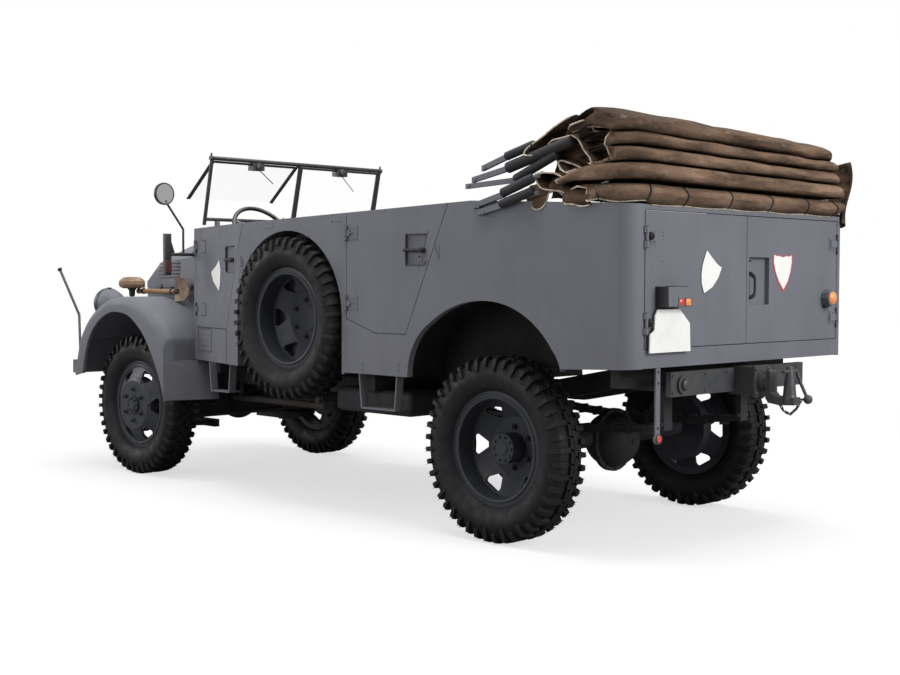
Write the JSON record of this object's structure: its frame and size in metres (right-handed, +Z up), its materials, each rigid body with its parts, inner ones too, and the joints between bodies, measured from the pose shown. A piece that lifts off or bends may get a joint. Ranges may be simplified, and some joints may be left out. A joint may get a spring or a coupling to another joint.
{
  "type": "military off-road car",
  "caption": "Open four-wheel-drive army car with slab sides, side and tail doors, spare wheels in side wells, folded canvas hood and tow hitch.",
  "frame": {"origin": "on the ground, halfway between the ends and the sides of the car", "axes": "+X forward, +Y to the car's left, +Z up"},
  "size_m": [5.1699, 1.973, 2.06],
  "materials": {
    "body_paint": "matt",
    "chassis_paint": "matt",
    "tyre": "matt",
    "canvas": "matt",
    "seat_cover": "matt",
    "glass": "gloss",
    "wood": "worn",
    "iron": "matt",
    "plate": "satin",
    "wheel_grip": "satin",
    "lamp_tan": "matt"
  },
  "bodies": {
    "car": {"bumper": "chassis_paint", "cowl": "body_paint", "engine": "iron", "exhaust": "chassis_paint", "fenders": "body_paint", "floor": "body_paint", "frame": "chassis_paint", "front_axle": "chassis_paint", "front_sills": "body_paint", "fuel_tank": "chassis_paint", "gearbox": "chassis_paint", "head_lamps": "body_paint", "hood": "canvas", "hood_irons": "body_paint", "hooded_lamp": "lamp_tan", "markers": "chassis_paint", "nose": "body_paint", "quarters": "body_paint", "rear_axle": "chassis_paint", "rear_panel": "body_paint", "seat_frames": "body_paint", "seat_pads": "seat_cover", "shovel": "wood", "side_wells": "body_paint", "spare_tyres": "tyre", "spare_wheels": "body_paint", "steering_column": "chassis_paint", "steps": "body_paint", "tow_hitch": "iron", "windscreen_frame": "chassis_paint", "windscreen_glass": "glass"},
    "wheel_rl": {"tyre_rear_left": "tyre", "wheel_rear_left": "body_paint"},
    "wheel_rr": {"tyre_rear_right": "tyre", "wheel_rear_right": "body_paint"},
    "wheel_fl": {"tyre_front_left": "tyre", "wheel_front_left": "body_paint"},
    "wheel_fr": {"tyre_front_right": "tyre", "wheel_front_right": "body_paint"},
    "steer_l": {"knuckle_left": "iron"},
    "steer_r": {"knuckle_right": "iron"},
    "hand_wheel": {"steering_wheel": "wheel_grip"},
    "front_door_l": {"door_front_left": "body_paint"},
    "front_door_r": {"door_front_right": "body_paint"},
    "rear_door_l": {"door_rear_left": "body_paint"},
    "rear_door_r": {"door_rear_right": "body_paint"},
    "tail_l": {"tail_door_left": "body_paint", "number_plate": "plate"},
    "tail_r": {"tail_door_right": "body_paint"},
    "bonnet_lid": {"bonnet": "body_paint"}
  },
  "joints": [
    {"name": "rear_left_spin", "type": "hinge", "parent": "car", "child": "wheel_rl", "pos_m": [-1.405, 0.8025, 0.456], "axis": [0, 1, 0], "continuous": true},
    {"name": "rear_right_spin", "type": "hinge", "parent": "car", "child": "wheel_rr", "pos_m": [-1.405, -0.8025, 0.456], "axis": [0, 1, 0], "continuous": true},
    {"name": "steer_left", "type": "hinge", "parent": "car", "child": "steer_l", "pos_m": [1.845, 0.65, 0.456], "axis": [0, 0, 1], "range_deg": [-30, 30]},
    {"name": "steer_right", "type": "hinge", "parent": "car", "child": "steer_r", "pos_m": [1.845, -0.65, 0.456], "axis": [0, 0, 1], "range_deg": [-30, 30]},
    {"name": "front_left_spin", "type": "hinge", "parent": "steer_l", "child": "wheel_fl", "pos_m": [1.845, 0.7425, 0.456], "axis": [0, 1, 0], "continuous": true},
    {"name": "front_right_spin", "type": "hinge", "parent": "steer_r", "child": "wheel_fr", "pos_m": [1.845, -0.7425, 0.456], "axis": [0, 1, 0], "continuous": true},
    {"name": "hand_wheel_turn", "type": "hinge", "parent": "car", "child": "hand_wheel", "pos_m": [0.965, 0.45, 1.56], "axis": [-0.8, 0, 0.6], "range_deg": [-540, 540]},
    {"name": "front_door_left_swing", "type": "hinge", "parent": "car", "child": "front_door_l", "pos_m": [1.29745, 0.73324, 1.285], "axis": [0, 0, 1], "range_deg": [-70, 0]},
    {"name": "front_door_right_swing", "type": "hinge", "parent": "car", "child": "front_door_r", "pos_m": [1.29745, -0.73324, 1.285], "axis": [0, 0, 1], "range_deg": [0, 70]},
    {"name": "rear_door_left_swing", "type": "hinge", "parent": "car", "child": "rear_door_l", "pos_m": [-0.386, 0.937, 1.339], "axis": [0, 0, 1], "range_deg": [-75, 0]},
    {"name": "rear_door_right_swing", "type": "hinge", "parent": "car", "child": "rear_door_r", "pos_m": [-0.386, -0.937, 1.339], "axis": [0, 0, 1], "range_deg": [0, 75]},
    {"name": "tail_door_left_swing", "type": "hinge", "parent": "car", "child": "tail_l", "pos_m": [-2.284, 0.83, 1.279], "axis": [0, 0, 1], "range_deg": [-110, 0]},
    {"name": "tail_door_right_swing", "type": "hinge", "parent": "car", "child": "tail_r", "pos_m": [-2.284, -0.83, 1.279], "axis": [0, 0, 1], "range_deg": [0, 110]},
    {"name": "bonnet_lift", "type": "hinge", "parent": "car", "child": "bonnet_lid", "pos_m": [1.352, 0, 1.566], "axis": [0, 1, 0], "range_deg": [-48, 0]}
  ],
  "couplings": [
    {"joint": "steer_right", "follows": "steer_left", "ratio": 1}
  ]
}
